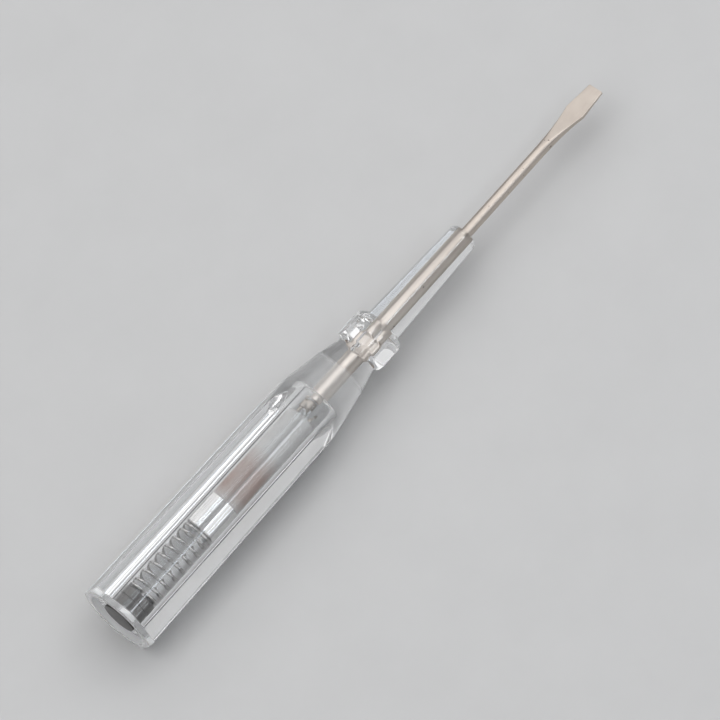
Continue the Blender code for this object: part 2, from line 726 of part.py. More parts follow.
def make_materials():
    return {
        "clear_plastic": make_material("clear_plastic", (0.93, 0.94, 0.95), 0.04, transmission=1.0),
        "nickel_steel": make_material("nickel_steel", (0.62, 0.58, 0.54), 0.28, metallic=1.0),
        "plug_metal": make_material("plug_metal", (0.30, 0.29, 0.28), 0.22, metallic=1.0),
        "spring_steel": make_material("spring_steel", (0.58, 0.57, 0.56), 0.25, metallic=1.0),
        "bright_tin": make_material("bright_tin", (0.78, 0.78, 0.78), 0.18, metallic=1.0),
        "solder": make_material("solder", (0.66, 0.67, 0.68), 0.30, metallic=1.0),
        "frosted_glass": make_material("frosted_glass", (0.86, 0.87, 0.88), 0.55, transmission=0.7),
        "resistor_coat": make_material("resistor_coat", (0.48, 0.36, 0.33), 0.45),
        "bulb_glass": make_material("bulb_glass", (0.95, 0.96, 0.97), 0.03, transmission=1.0),
        "electrode_nickel": make_material("electrode_nickel", (0.52, 0.50, 0.47), 0.38, metallic=1.0),
        "lead_wire": make_material("lead_wire", (0.70, 0.62, 0.55), 0.30, metallic=1.0),
    }


def add_frame(name, parent=None):
    frame = bpy.data.objects.new(name, None)
    frame.empty_display_size = CUTTER_OVERRUN
    bpy.context.scene.collection.objects.link(frame)
    frame.parent = parent
    return frame


def main():
    clear_scene()
    materials = make_materials()
    tool = add_frame("tool_axis")
    tool.location = (-LENGTH / 2, 0, AXIS_HEIGHT)
    lamp_unit = add_frame("lamp_unit", tool)
    plug_unit = add_frame("plug_unit", tool)

    for piece in (make_handle(materials), make_blade_shaft(materials)):
        piece.parent = tool
    for piece in (make_contact_plug(materials), make_contact_spring(materials)):
        piece.parent = plug_unit
    lamp_pieces = [
        make_lamp_ferrule(materials),
        make_ferrule_solder(materials),
        make_lamp_sleeve(materials),
        make_lead_crimp(materials),
        make_neon_bulb(materials),
        make_return_lead(materials),
        make_front_contact(materials),
    ]
    lamp_pieces += make_resistor(materials)
    lamp_pieces += make_electrodes(materials)
    for piece in lamp_pieces:
        piece.parent = lamp_unit


main()
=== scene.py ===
"""Looks of the mains voltage tester: a clear handle with its spring, ferrule and lamp, and a blade.

Lengths are in metres. Places along the tool are measured from the rear rim of the handle, as in the
solids, and each piece starts from the box of the node that it stands for. An outline of a turned
piece is a list of (place along the tool, radius).
"""
import math

import bmesh
import bpy
import numpy as np
from mathutils import Matrix, Vector


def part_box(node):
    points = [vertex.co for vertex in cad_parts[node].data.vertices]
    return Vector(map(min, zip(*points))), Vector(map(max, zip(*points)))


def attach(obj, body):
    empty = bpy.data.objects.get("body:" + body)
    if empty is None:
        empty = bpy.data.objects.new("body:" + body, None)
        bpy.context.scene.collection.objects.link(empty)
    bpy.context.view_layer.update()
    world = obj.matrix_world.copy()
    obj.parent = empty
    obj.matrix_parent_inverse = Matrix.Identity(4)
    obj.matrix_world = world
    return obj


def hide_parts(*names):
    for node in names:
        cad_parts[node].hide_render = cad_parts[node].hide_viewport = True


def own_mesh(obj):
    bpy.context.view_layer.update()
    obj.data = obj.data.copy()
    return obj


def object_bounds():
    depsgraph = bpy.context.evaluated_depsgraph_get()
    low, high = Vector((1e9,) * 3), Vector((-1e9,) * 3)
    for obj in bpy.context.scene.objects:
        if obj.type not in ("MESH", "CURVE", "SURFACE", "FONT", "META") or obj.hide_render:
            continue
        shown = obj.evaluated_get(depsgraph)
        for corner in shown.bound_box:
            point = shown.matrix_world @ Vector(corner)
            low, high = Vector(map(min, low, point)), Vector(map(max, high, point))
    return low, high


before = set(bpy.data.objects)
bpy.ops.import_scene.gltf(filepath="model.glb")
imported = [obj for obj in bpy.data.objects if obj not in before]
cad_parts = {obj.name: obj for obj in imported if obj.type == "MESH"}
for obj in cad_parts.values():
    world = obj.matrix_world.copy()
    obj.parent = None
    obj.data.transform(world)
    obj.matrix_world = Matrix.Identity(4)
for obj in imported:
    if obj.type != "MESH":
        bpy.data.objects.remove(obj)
cad_low, cad_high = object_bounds()

# View of the photograph
CAMERA_AZIMUTH = math.radians(-28.8)
CAMERA_ELEVATION = math.radians(62.85)
CAMERA_ROLL = math.radians(-21.9)
CAMERA_DISTANCE = 6.0
VIEW_WIDTH = 0.13735
AIM_RIGHT = 0.00054
AIM_UP = -0.00115
SENSOR_WIDTH = 36
CLIP_START = 0.1
CLIP_END = 40

# Softboxes: name, azimuth and elevation in degrees, width, height, power, colour
LAMP_DISTANCE = 0.9
WHITE_LIGHT = (1, 1, 1)
SOFTBOXES = (
    ("overhead_softbox", 127, 72, 1.2, 1.2, 3.0, WHITE_LIGHT),
    ("rear_softbox", 163, 40, 0.9, 0.4, 0.85, WHITE_LIGHT),
    ("key_softbox", 23, 52, 0.5, 0.08, 0.67, (0.88, 0.94, 1.0)),
    ("side_softbox", 17, 30, 0.8, 0.45, 0.5, (0.94, 0.97, 1.0)),
    ("left_softbox", -95, 50, 1.1, 1.1, 3.3, WHITE_LIGHT),
    ("right_softbox", 85, 50, 0.6, 0.6, 1.2, WHITE_LIGHT),
)

# Room: its brightness changes at two heights, as shares of straight up
HORIZON_FADE = (0.03, 0.16)
CEILING_FADE = (0.80, 0.97)
HORIZON_GREY = (0.74, 0.74, 0.74)
WALL_GREY = (0.15, 0.15, 0.155)
CEILING_GREY = (0.60, 0.60, 0.60)
FLOOR_HALF_WIDTH = 2.5
FLOOR_GAP = 0.00005
FLOOR_GRAIN_SCALE = 60.0
FLOOR_GREYS = ((0.61, 0.61, 0.61), (0.59, 0.59, 0.59))
FLOOR_ROUGHNESS = 0.45

# Light paths, enough for the clear handle with its lamp unit inside
MAX_BOUNCES = 32
CLEAR_BOUNCES = 24

# Mesh steps
ROUND_SIDES = 96
EDGE_STEPS = 4
ARC_STEPS = 10
SIDE_PER_ROUNDING = 2.2
SMOOTH_ANGLE = math.radians(50)

# Handle barrel and cone
HEXAGON_SIDES = 6
HALF_SIDE = math.pi / HEXAGON_SIDES
BARREL_REAR_RADIUS = 0.00887
BARREL_FRONT_RADIUS = 0.00827
BARREL_CORNER_CUT = 0.000155
CORNER_SOFTENING = 0.00004
REAR_ROUNDING = 0.0012
CONE_START = 0.0505
CONE_END = 0.0649
CONE_END_RADIUS = 0.00563
CONE_START_BLEND = 0.0010
BODY_SOFTENING = 0.0002
MOULD_LINE_HEIGHT = 0.00009
MOULD_LINE_WIDTH = 0.00010
NECK_END_RADIUS = 0.00430
MOULD_EDGE = 0.00006
CORNER_SPAN = math.radians(3.0)
CORNER_STEPS = 20
FLAT_STEPS = 24
BARREL_STATIONS = 12
CONE_STATIONS = 64
MOULD_LINE_STATIONS = 18
NECK_STATIONS = 8

# Guard and nose
GUARD_START = 0.0700
GUARD_LENGTH = 0.0072
GUARD_RADIUS = 0.00595
GUARD_CORNER_CUT = 0.000124
GUARD_REAR_CHAMFER = 0.0013
GUARD_FRONT_ROUNDING = 0.0026
GUARD_REAR_RADIUS_SHARE = 0.74
GUARD_STATIONS = 44
NOSE_REAR_RADIUS = 0.00382
NOSE_FRONT_RADIUS = 0.00300
NOSE_END_ROUNDING = 0.0011
NOSE_STATIONS = 10

# Openings in the handle
RECESS_RADIUS = 0.00640
RECESS_DEPTH = 0.0014
BORE_RADIUS = 0.00325
BORE_END = 0.0580
BORE_END_ROUNDING = 0.0008
OPENING_EDGE = 0.00015
MOULDED_GRIP = 0.00005

# Shaft and blade
SHAFT_RADIUS = 0.001165
SHAFT_END_CHAMFER = 0.0002
WING_START = 0.0687
WING_LENGTH = 0.0055
WING_WIDTH = 0.0038
WING_THICKNESS = 0.0011
WING_RUN_OUT = 0.0008
BLADE_ROLL = math.radians(-11)
FLATTENING_LENGTH = 0.0110
FLARE_LENGTH = 0.0083
SHOULDER_TO_TIP = 0.0062
SHOULDER_WIDTH = 0.0045
SHOULDER_THICKNESS = 0.00075
TIP_WIDTH = 0.0035
TIP_THICKNESS = 0.00045
TIP_CORNER_ROUNDING = 0.0002
BLADE_EDGE_ROUNDING = 0.00010
SECTION_STEPS = 12
RUN_OUT_STATIONS = 8
WING_STATIONS = 4
SHAFT_STATIONS = 30
FLARE_STATIONS = 40
TAPER_STATIONS = 10

# Contact plug and spring
SEATED = 0.00002
SOFT_EDGE = 0.00008
PLUG_FIT = 0.00005
PLUG_BODY_END = 0.0061
PLUG_GROOVE_START = 0.0034
PLUG_GROOVE_WIDTH = 0.0006
PLUG_GROOVE_DEPTH = 0.00025
PLUG_SPIGOT_RADIUS = 0.0018
PLUG_CHAMFER = 0.0003
SPRING_WIRE = 0.0006
SPRING_MEAN_RADIUS = 0.0026
SPRING_ACTIVE_TURNS = 6.5
SPRING_END_TURNS = 1
SPRING_END_PITCH = 0.00115
SPRING_POINTS_PER_TURN = 48
WIRE_SIDES = 16

# Lamp unit
FERRULE_WALL = 0.00035
FERRULE_FLOOR = 0.0006
FERRULE_EDGE = 0.00035
LEAD_HOLE = 0.00055
SLEEVE_WALL = 0.0003
SLEEVE_END_WALL = 0.0005
SLEEVE_DOME = 0.0011
SLEEVE_GAP = 0.0003
STEM_HOLE = 0.0008
RESISTOR_EDGE = 0.0004
CAP_WALL = 0.0003
BULB_WALL = 0.00025
BULB_SEAL_LENGTH = 0.0010
BULB_SEAL_RADIUS = 0.0012
BULB_TIP_RADIUS = 0.0003
BULB_TIP_LENGTH = 0.0003
RETURN_LEAD_BEND = 0.0004
RETURN_LEAD_POINTS = 24
CRIMP_WALL = 0.0002
CONTACT_DISC_THICKNESS = 0.0004
CONTACT_STEM_RADIUS = 0.0005
CONTACT_HEAD_RADIUS = 0.00095
CONTACT_HEAD_LENGTH = 0.0017
CONTACT_HEAD_ROUNDING = 0.0004

# Finishes of all pieces
NOISE_SPAN = (0.3, 0.7)  # most of a noise lies in it
GRAIN_HEIGHT = 0.00002
BLOTCH_SCALE = 260.0
BLOTCH_LEVELS = (0.3, 0.75)
LENGTHWAYS = (0.1, 1.0, 1.0)  # draws a noise out along the tool

# Finish of the shaft
# Plate colours: duller outside the handle, brighter inside it
DULL_PLATE = ((0.64, 0.575, 0.515), (0.58, 0.515, 0.46))
BRIGHT_INNER_PLATE = (0.80, 0.735, 0.675)
INNER_SHARE_AT_MOUTH = 0.1
INNER_GLOSS = 0.04
MOUTH_FADE = 0.0006
PLATE_ROUGHNESS = (0.36, 0.44)
BRUSH_SCALE = 2600.0
BRUSH_STRETCH = (0.15, 1.0, 1.0)
PIT_SCALE = 1300.0
PIT_LEVELS = (0.73, 0.78)
PIT_COLOUR = (0.16, 0.13, 0.12)

# Finish of the clear handle
RIM_FADE = (0.00003, 0.00008)
RECESS_FADE = 0.0001
RECESS_SKIN = 0.0003
CORNER_FADE_SHARES = (0.7, 1.1)
CORNER_FADE_RADII = (0.0079, 0.0082)
MATT_TRANSMISSION = 0.3
MATT_ROUGHNESS = (0.35, 0.6)
MATT_GRAIN_SCALE = 2600.0
CONE_HAZE_FULL = 0.0600
HAZE_CLOUD = 0.2
HAZE_ROUGHNESS = 0.16
HAIRLINE_SCALE = 1400.0
HAIRLINE_STRETCH = (0.04, 1.0, 1.0)
HAIRLINE_LEVELS = (0.6, 0.85)
HAIRLINE_ROUGHNESS = 0.01
WAVE_SCALE = 60.0
WAVE_STRETCH = (0.3, 1.0, 1.0)

# Finish of the frosted sleeve
FROST_WHITES = ((0.97, 0.965, 0.95), (0.92, 0.915, 0.90))
FROST_CLOUD_SCALE = 300.0
FROST_GRAIN_SCALE = 5000.0
FROST_ROUGHNESS = (0.22, 0.32)
# Painted colour of the resistor seen through the tube, put into the tube's base colour
PAINTED_RESISTOR_TINT = (0.64, 0.47, 0.41)
TINT_BLUR = 0.0012
TINT_SCALE = 420.0
TINT_STRETCH = (0.4, 1.0, 1.0)
TINT_LEVELS = (0.38, 0.62)
TINT_SHARES = (0.75, 1.0)

# Finish of the bulb and of the resistor
FILM_SCALE = 1500.0
FILM_LEVELS = (0.4, 0.7)
FILM_ROUGHNESS = (0.01, 0.08)
LACQUER_SCALE = 1200.0
LACQUER_LEVELS = (0.35, 0.65)
LACQUER_BROWNS = ((0.55, 0.27, 0.21), (0.46, 0.21, 0.16))
LACQUER_ROUGHNESS = (0.3, 0.45)

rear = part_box("handle")[0].x
shaft_low, shaft_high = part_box("blade_shaft")
nose_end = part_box("handle")[1].x - rear
AXIS_HEIGHT = BARREL_REAR_RADIUS * math.cos(HALF_SIDE)


def span(node):
    """Start and end along the tool, radius, and sideways place of a turned node."""
    low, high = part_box(node)
    return low.x - rear, high.x - rear, (high.z - low.z) / 2, (high.y + low.y) / 2


# Materials


def new_material(name):
    """A material with its node tree and its main shader."""
    material = bpy.data.materials.new(name)
    material.use_nodes = True
    tree = material.node_tree
    return material, tree, tree.nodes["Principled BSDF"]


def place_vector(tree, stretch=(1, 1, 1)):
    """Object coordinates, stretched, so that a texture stays on its piece."""
    place = tree.nodes.new("ShaderNodeTexCoord")
    mapping = tree.nodes.new("ShaderNodeMapping")
    mapping.inputs["Scale"].default_value = stretch
    tree.links.new(place.outputs["Object"], mapping.inputs["Vector"])
    return mapping.outputs["Vector"]


def noise(tree, scale, detail=3.0, roughness=0.5, stretch=(1, 1, 1)):
    """A noise texture that stays on its piece."""
    texture = tree.nodes.new("ShaderNodeTexNoise")
    texture.inputs["Scale"].default_value = scale
    texture.inputs["Detail"].default_value = detail
    texture.inputs["Roughness"].default_value = roughness
    tree.links.new(place_vector(tree, stretch), texture.inputs["Vector"])
    return texture.outputs["Fac"]


def ranged(tree, source, low, high, to_low, to_high):
    """Maps a value from one range to another, clamped."""
    node = tree.nodes.new("ShaderNodeMapRange")
    node.inputs["From Min"].default_value = low
    node.inputs["From Max"].default_value = high
    node.inputs["To Min"].default_value = to_low
    node.inputs["To Max"].default_value = to_high
    tree.links.new(source, node.inputs["Value"])
    return node.outputs["Result"]


def rising(tree, source, low, high):
    """0 below a range of the source, 1 above it."""
    return ranged(tree, source, low, high, 0.0, 1.0)


def falling(tree, source, low, high):
    """1 below a range of the source, 0 above it."""
    return ranged(tree, source, low, high, 1.0, 0.0)


def blended(tree, factor, first, second):
    """A colour between two, by a factor."""
    node = tree.nodes.new("ShaderNodeMix")
    node.data_type = "RGBA"
    tree.links.new(factor, node.inputs["Factor"])
    for socket, value in ((node.inputs[6], first), (node.inputs[7], second)):
        if isinstance(value, tuple):
            socket.default_value = (*value, 1.0)
        else:
            tree.links.new(value, socket)
    return node.outputs[2]


def combined(tree, operation, first, second):
    """A math operation on two values, each a number or a node's output."""
    node = tree.nodes.new("ShaderNodeMath")
    node.operation = operation
    for socket, value in zip(node.inputs, (first, second)):
        if isinstance(value, (int, float)):
            socket.default_value = value
        else:
            tree.links.new(value, socket)
    return node.outputs["Value"]


def multiplied(tree, first, second):
    """The product of two values."""
    return combined(tree, "MULTIPLY", first, second)


def bumped(tree, shader, height, strength):
    """Gives a shader fine relief."""
    node = tree.nodes.new("ShaderNodeBump")
    node.inputs["Strength"].default_value = strength
    node.inputs["Distance"].default_value = GRAIN_HEIGHT
    tree.links.new(height, node.inputs["Height"])
    tree.links.new(node.outputs["Normal"], shader.inputs["Normal"])


def along_and_out(tree):
    """Distance from the rear rim and distance from the tool's axis, in metres, as shader values."""
    place = tree.nodes.new("ShaderNodeTexCoord")
    parts = tree.nodes.new("ShaderNodeSeparateXYZ")
    tree.links.new(place.outputs["Object"], parts.inputs["Vector"])
    along = combined(tree, "SUBTRACT", parts.outputs["X"], rear)
    height = combined(tree, "SUBTRACT", parts.outputs["Z"], AXIS_HEIGHT)
    squares = combined(
        tree, "ADD",
        multiplied(tree, parts.outputs["Y"], parts.outputs["Y"]),
        multiplied(tree, height, height),
    )
    return along, combined(tree, "SQRT", squares, 0.0)


def metal(name, light, dark, roughness, grain, stretch=(1, 1, 1), bump=0.03):
    """A plated or drawn metal: fine grain, faint blotches and a varied gloss."""
    material, tree, shader = new_material(name)
    shader.inputs["Metallic"].default_value = 1.0
    blotch = noise(tree, BLOTCH_SCALE, detail=2.0)
    shade = rising(tree, blotch, *BLOTCH_LEVELS)
    tree.links.new(blended(tree, shade, light, dark), shader.inputs["Base Color"])
    streak = noise(tree, grain, roughness=0.6, stretch=stretch)
    tree.links.new(ranged(tree, streak, *NOISE_SPAN, *roughness), shader.inputs["Roughness"])
    bumped(tree, shader, streak, strength=bump)
    return material


def nickel_steel():
    """Satin nickel plate with fine pits, bright in the handle and duller at the nose's mouth."""
    material, tree, shader = new_material("nickel_steel_finish")
    shader.inputs["Metallic"].default_value = 1.0
    cloud = rising(tree, noise(tree, BLOTCH_SCALE, detail=2.0), *NOISE_SPAN)
    along, _ = along_and_out(tree)
    guard_end = GUARD_START + GUARD_LENGTH
    # Brighter plate inside the handle, fading to the duller plate towards the nose's mouth
    inside_handle = multiplied(
        tree,
        falling(tree, along, nose_end - MOUTH_FADE, nose_end),
        ranged(tree, along, guard_end, nose_end, 1.0, INNER_SHARE_AT_MOUTH),
    )
    plate = blended(tree, inside_handle, blended(tree, cloud, *DULL_PLATE), BRIGHT_INNER_PLATE)
    pit = rising(tree, noise(tree, PIT_SCALE, detail=1.0, roughness=0.4), *PIT_LEVELS)
    tree.links.new(blended(tree, pit, plate, PIT_COLOUR), shader.inputs["Base Color"])
    brush = noise(tree, BRUSH_SCALE, roughness=0.6, stretch=BRUSH_STRETCH)
    satin = ranged(tree, brush, *NOISE_SPAN, *PLATE_ROUGHNESS)
    less = multiplied(tree, inside_handle, INNER_GLOSS)
    tree.links.new(combined(tree, "SUBTRACT", satin, less), shader.inputs["Roughness"])
    bumped(tree, shader, brush, strength=0.02)
    return material


def clear_plastic():
    """Polished clear moulding with flow waves and hairlines, and with matt and hazy places."""
    material, tree, shader = new_material("clear_plastic_finish")
    shader.inputs["IOR"].default_value = 1.57
    shader.inputs["Base Color"].default_value = (0.96, 0.965, 0.97, 1.0)
    along, out = along_and_out(tree)
    # Matt: the wall of the recess and the turned rear corners, but not the rim's own face
    behind_rim = rising(tree, along, *RIM_FADE)
    in_recess = multiplied(
        tree,
        falling(tree, along, RECESS_DEPTH - RECESS_FADE, RECESS_DEPTH),
        falling(tree, out, RECESS_RADIUS + RECESS_FADE, RECESS_RADIUS + RECESS_SKIN),
    )
    on_corner = multiplied(
        tree,
        falling(tree, along, *(REAR_ROUNDING * share for share in CORNER_FADE_SHARES)),
        rising(tree, out, *CORNER_FADE_RADII),
    )
    matt = multiplied(tree, behind_rim, combined(tree, "MAXIMUM", in_recess, on_corner))
    # Hazy: the outside of the cone, up to the mould line
    haze = multiplied(
        tree,
        rising(tree, along, CONE_START, CONE_HAZE_FULL),
        falling(tree, along, CONE_END, CONE_END + MOULD_EDGE),
    )
    haze = multiplied(tree, haze, rising(tree, out, BORE_RADIUS, CONE_END_RADIUS))
    cloudy = combined(tree, "ADD", matt, multiplied(tree, haze, HAZE_CLOUD))
    clear = ranged(tree, cloudy, 0.0, 1.0, 1.0, MATT_TRANSMISSION)
    tree.links.new(clear, shader.inputs["Transmission Weight"])
    grain = noise(tree, MATT_GRAIN_SCALE, detail=4.0, roughness=0.7)
    matt_roughness = ranged(tree, grain, *NOISE_SPAN, *MATT_ROUGHNESS)
    hairline = noise(tree, HAIRLINE_SCALE, detail=5.0, roughness=0.75, stretch=HAIRLINE_STRETCH)
    polished = ranged(tree, hairline, *HAIRLINE_LEVELS, 0.0, HAIRLINE_ROUGHNESS)
    polished = combined(tree, "ADD", polished, multiplied(tree, haze, HAZE_ROUGHNESS))
    roughness = combined(tree, "ADD", multiplied(tree, matt, matt_roughness), polished)
    tree.links.new(roughness, shader.inputs["Roughness"])
    wave = noise(tree, WAVE_SCALE, detail=1.0, roughness=0.4, stretch=WAVE_STRETCH)
    height = combined(tree, "ADD", wave, multiplied(tree, matt, grain))
    bumped(tree, shader, height, strength=0.05)
    return material


def frosted_glass():
    """Etched tube: light passes, and the resistor's colour seen through it is painted on, blurred
    at its ends.
    """
    material, tree, shader = new_material("frosted_glass_finish")
    shader.inputs["Transmission Weight"].default_value = 0.12
    shader.inputs["IOR"].default_value = 1.3
    shader.inputs["Sheen Weight"].default_value = 0.6
    shader.inputs["Sheen Roughness"].default_value = 0.35
    shade = rising(tree, noise(tree, FROST_CLOUD_SCALE, detail=2.0), *NOISE_SPAN)
    along, _ = along_and_out(tree)
    start, end = span("resistor_body")[:2]
    # Painted colour of the resistor seen through the tube, where the resistor lies behind it
    tint = multiplied(
        tree,
        rising(tree, along, start - 2 * TINT_BLUR, start + TINT_BLUR),
        falling(tree, along, end - 2 * TINT_BLUR, end + 2 * TINT_BLUR),
    )
    uneven = noise(tree, TINT_SCALE, detail=2.0, stretch=TINT_STRETCH)
    tint = multiplied(tree, tint, ranged(tree, uneven, *TINT_LEVELS, *TINT_SHARES))
    white = blended(tree, shade, *FROST_WHITES)
    tree.links.new(blended(tree, tint, white, PAINTED_RESISTOR_TINT), shader.inputs["Base Color"])
    grain = noise(tree, FROST_GRAIN_SCALE, roughness=0.6)
    tree.links.new(ranged(tree, grain, *NOISE_SPAN, *FROST_ROUGHNESS), shader.inputs["Roughness"])
    bumped(tree, shader, grain, strength=0.05)
    return material


def bulb_glass():
    """Clear glass with a faint film."""
    material, tree, shader = new_material("bulb_glass_finish")
    shader.inputs["Transmission Weight"].default_value = 1.0
    shader.inputs["IOR"].default_value = 1.5
    shader.inputs["Base Color"].default_value = (0.97, 0.975, 0.98, 1.0)
    film = noise(tree, FILM_SCALE, roughness=0.6)
    tree.links.new(ranged(tree, film, *FILM_LEVELS, *FILM_ROUGHNESS), shader.inputs["Roughness"])
    return material


def resistor_lacquer():
    """Reddish brown lacquer, cloudy and a little uneven."""
    material, tree, shader = new_material("resistor_lacquer_finish")
    cloud = noise(tree, LACQUER_SCALE, roughness=0.55)
    shade = rising(tree, cloud, *LACQUER_LEVELS)
    tree.links.new(blended(tree, shade, *LACQUER_BROWNS), shader.inputs["Base Color"])
    gloss = ranged(tree, cloud, *NOISE_SPAN, *LACQUER_ROUGHNESS)
    tree.links.new(gloss, shader.inputs["Roughness"])
    bumped(tree, shader, cloud, strength=0.2)
    return material


def make_materials():
    """Materials by slot. The front contact's slot is bright_tin; its look is darker tin, painted
    shade.
    """
    return {
        "clear_plastic": clear_plastic(),
        "nickel_steel": nickel_steel(),
        # Plug metal painted near black: painted shade for the dark end of the recess and bore
        "plug_metal": metal(
            "plug_metal_painted_shade", light=(0.13, 0.125, 0.12), dark=(0.09, 0.087, 0.085),
            roughness=(0.27, 0.33), grain=1800.0, bump=0.005,
        ),
        "spring_steel": metal(
            "spring_steel_finish", light=(0.56, 0.55, 0.54), dark=(0.46, 0.45, 0.44),
            roughness=(0.08, 0.15), grain=2500.0,
        ),
        "bright_tin": metal(
            "bright_tin_finish", light=(0.78, 0.77, 0.76), dark=(0.70, 0.69, 0.68),
            roughness=(0.22, 0.28), grain=1500.0, stretch=LENGTHWAYS, bump=0.01,
        ),
        # Darker tin for the front contact: painted shade that dims its highlight
        "shade_painted_tin": metal(
            "shade_painted_tin_finish", light=(0.54, 0.49, 0.44), dark=(0.40, 0.36, 0.32),
            roughness=(0.28, 0.36), grain=2500.0,
        ),
        "solder": metal(
            "solder_finish", light=(0.72, 0.73, 0.74), dark=(0.62, 0.63, 0.64),
            roughness=(0.25, 0.45), grain=3000.0, bump=0.2,
        ),
        "frosted_glass": frosted_glass(),
        "resistor_coat": resistor_lacquer(),
        "bulb_glass": bulb_glass(),
        "electrode_nickel": metal(
            "electrode_nickel_finish", light=(0.52, 0.50, 0.47), dark=(0.38, 0.36, 0.33),
            roughness=(0.30, 0.50), grain=2500.0,
        ),
        "lead_wire": metal(
            "lead_wire_finish", light=(0.74, 0.66, 0.58), dark=(0.58, 0.50, 0.43),
            roughness=(0.22, 0.38), grain=2500.0, stretch=LENGTHWAYS,
        ),
    }


# Shapes


def stations(start, end, count):
    """Evenly spaced places, without the last one."""
    return [start + (end - start) * i / count for i in range(count)]


def arc(centre_x, centre_r, size_x, size_r, start, end, steps=ARC_STEPS):
    """Points of an arc of an ellipse in an outline, between two angles in degrees."""
    points = []
    for i in range(steps + 1):
        angle = math.radians(start + (end - start) * i / steps)
        points.append((centre_x + size_x * math.cos(angle), centre_r + size_r * math.sin(angle)))
    return points


def softened(outline, rounding, closed=False):
    """Rounds each corner of an outline. A short side limits the rounding of its corners."""
    count = len(outline)
    points = []
    for i, here in enumerate(outline):
        if not closed and i in (0, count - 1):
            points.append(Vector(here))
            continue
        corner = Vector(here)
        before = Vector(outline[i - 1]) - corner
        after = Vector(outline[(i + 1) % count]) - corner
        longest = (before.length / SIDE_PER_ROUNDING, after.length / SIDE_PER_ROUNDING)
        reach = min(rounding, *longest)
        first = corner + before.normalized() * reach
        last = corner + after.normalized() * reach
        for j in range(EDGE_STEPS + 1):
            way = j / EDGE_STEPS
            points.append(first.lerp(corner, way).lerp(corner.lerp(last, way), way))
    return [(point.x, point.y) for point in points]


def soft_step(way):
    """A smooth rise from 0 to 1."""
    way = min(max(way, 0.0), 1.0)
    return way * way * (3 - 2 * way)


def soft_least(first, second, blend):
    """The lesser of two radii, with a rounded edge where they cross."""
    share = np.clip(0.5 + 0.5 * (second - first) / blend, 0, 1)
    return second * (1 - share) + first * share - blend * share * (1 - share)


def soft_most(first, second, blend):
    """The greater of two radii, with a rounded edge where they cross."""
    return -soft_least(-first, -second, blend)


def add_piece(name, vertices, faces, material, body, node, hollow_from=None):
    """A smooth closed mesh that stands for a node and rides on its body.

    Faces from number hollow_from on are the walls of a space inside it.
    """
    mesh = bpy.data.meshes.new(name)
    mesh.from_pydata([tuple(v) for v in vertices], [], faces)
    shape = bmesh.new()
    shape.from_mesh(mesh)
    bmesh.ops.recalc_face_normals(shape, faces=shape.faces)
    if hollow_from is not None:
        shape.faces.ensure_lookup_table()
        bmesh.ops.reverse_faces(shape, faces=shape.faces[hollow_from:])
    shape.to_mesh(mesh)
    shape.free()
    mesh.shade_smooth()
    mesh.set_sharp_from_angle(angle=SMOOTH_ANGLE)
    mesh.materials.append(material)
    piece = bpy.data.objects.new(name, mesh)
    bpy.context.scene.collection.objects.link(piece)
    weighted = piece.modifiers.new("weighted_normals", "WEIGHTED_NORMAL")
    weighted.keep_sharp = True
    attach(piece, body)
    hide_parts(node)
    return piece


def skinned(rings, closed):
    """Vertices and faces of a skin over rings of equal count.

    The last ring is joined to the first one, or else both end rings are closed.
    """
    count = len(rings[0])
    vertices = [point for ring in rings for point in ring]
    faces = []
    last = len(rings) if closed else len(rings) - 1
    for j in range(last):
        near = j * count
        far = (j + 1) % len(rings) * count
        for i in range(count):
            after = (i + 1) % count
            faces.append((near + i, near + after, far + after, far + i))
    if not closed:
        for start, order in ((0, 1), ((len(rings) - 1) * count, -1)):
            centre = sum((Vector(v) for v in vertices[start:start + count]), Vector()) / count
            vertices.append(centre)
            hub = len(vertices) - 1
            for i in range(count):
                edge = (start + i, start + (i + 1) % count)
                faces.append((*edge[::order], hub))
    return vertices, faces


def turned_skin(outline, offset=0.0):
    """Skin of a turned form. An outline that starts and ends on the axis gives a solid form."""
    solid = outline[0][1] == 0
    rings = []
    for x, radius in (outline[1:-1] if solid else outline):
        ring = []
        for i in range(ROUND_SIDES):
            angle = 2 * math.pi * i / ROUND_SIDES
            y = offset + radius * math.cos(angle)
            z = AXIS_HEIGHT + radius * math.sin(angle)
            ring.append((rear + x, y, z))
        rings.append(ring)
    return skinned(rings, closed=not solid)


def turned(name, outline, materials, body, node, slot, offset=0.0, look=None):
    """A turned piece, sideways of the axis by the offset. It looks like its slot or as told."""
    vertices, faces = turned_skin(outline, offset)
    return add_piece(name, vertices, faces, materials[look or slot], body, node)


def wire(name, points, radius, materials, body, node, slot):
    """A round wire along a line of points."""
    rings = []
    count = len(points)
    side = Vector((0, 0, 1))
    for i, point in enumerate(points):
        ahead = (points[min(i + 1, count - 1)] - points[max(i - 1, 0)]).normalized()
        side = (side - side.dot(ahead) * ahead).normalized()
        other = ahead.cross(side)
        ring = []
        for j in range(WIRE_SIDES):
            angle = 2 * math.pi * j / WIRE_SIDES
            ring.append(point + radius * (math.cos(angle) * side + math.sin(angle) * other))
        rings.append(ring)
    vertices, faces = skinned(rings, closed=False)
    return add_piece(name, vertices, faces, materials[slot], body, node)


# Handle


def hexagon_angles():
    """Angles round the tool, closer together at the six corners."""
    angles = []
    for corner in range(HEXAGON_SIDES):
        middle = 2 * corner * HALF_SIDE
        for i in range(CORNER_STEPS):
            angles.append(middle - CORNER_SPAN + 2 * CORNER_SPAN * i / CORNER_STEPS)
        flat = 2 * HALF_SIDE - 2 * CORNER_SPAN
        for i in range(FLAT_STEPS):
            angles.append(middle + CORNER_SPAN + flat * i / FLAT_STEPS)
    return np.array(angles)


